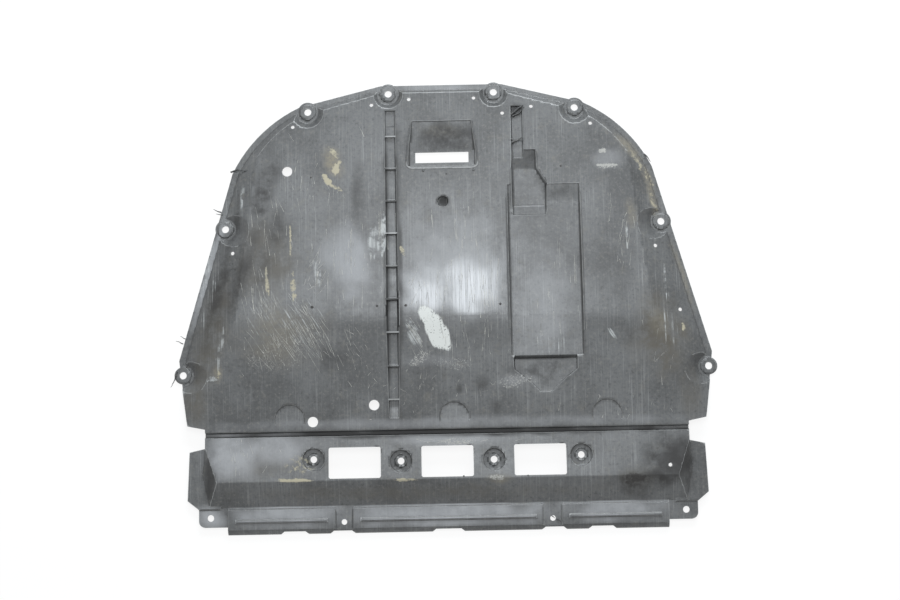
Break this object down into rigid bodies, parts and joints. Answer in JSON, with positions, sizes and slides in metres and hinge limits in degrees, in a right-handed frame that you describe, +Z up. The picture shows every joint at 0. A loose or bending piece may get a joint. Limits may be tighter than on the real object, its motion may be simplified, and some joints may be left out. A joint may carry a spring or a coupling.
{
  "type": "engine skid plate",
  "caption": "Moulded plastic engine undertray with a sloping panel, ribbed channel, air scoop, stepped pockets, bolt bosses round the rim and a windowed rear strip.",
  "frame": {"origin": "middle of the bounding box at the bottom, on the surface the plate lies on", "axes": "+Z up to the road side of the plate, +Y to the curved front edge, +X to the right seen from above"},
  "size_m": [0.908, 0.761, 0.0374],
  "materials": {
    "worn_plastic": "scuffed black plastic with dried mud"
  },
  "bodies": {
    "root": {"skid_plate": "worn_plastic"}
  },
  "joints": []
}
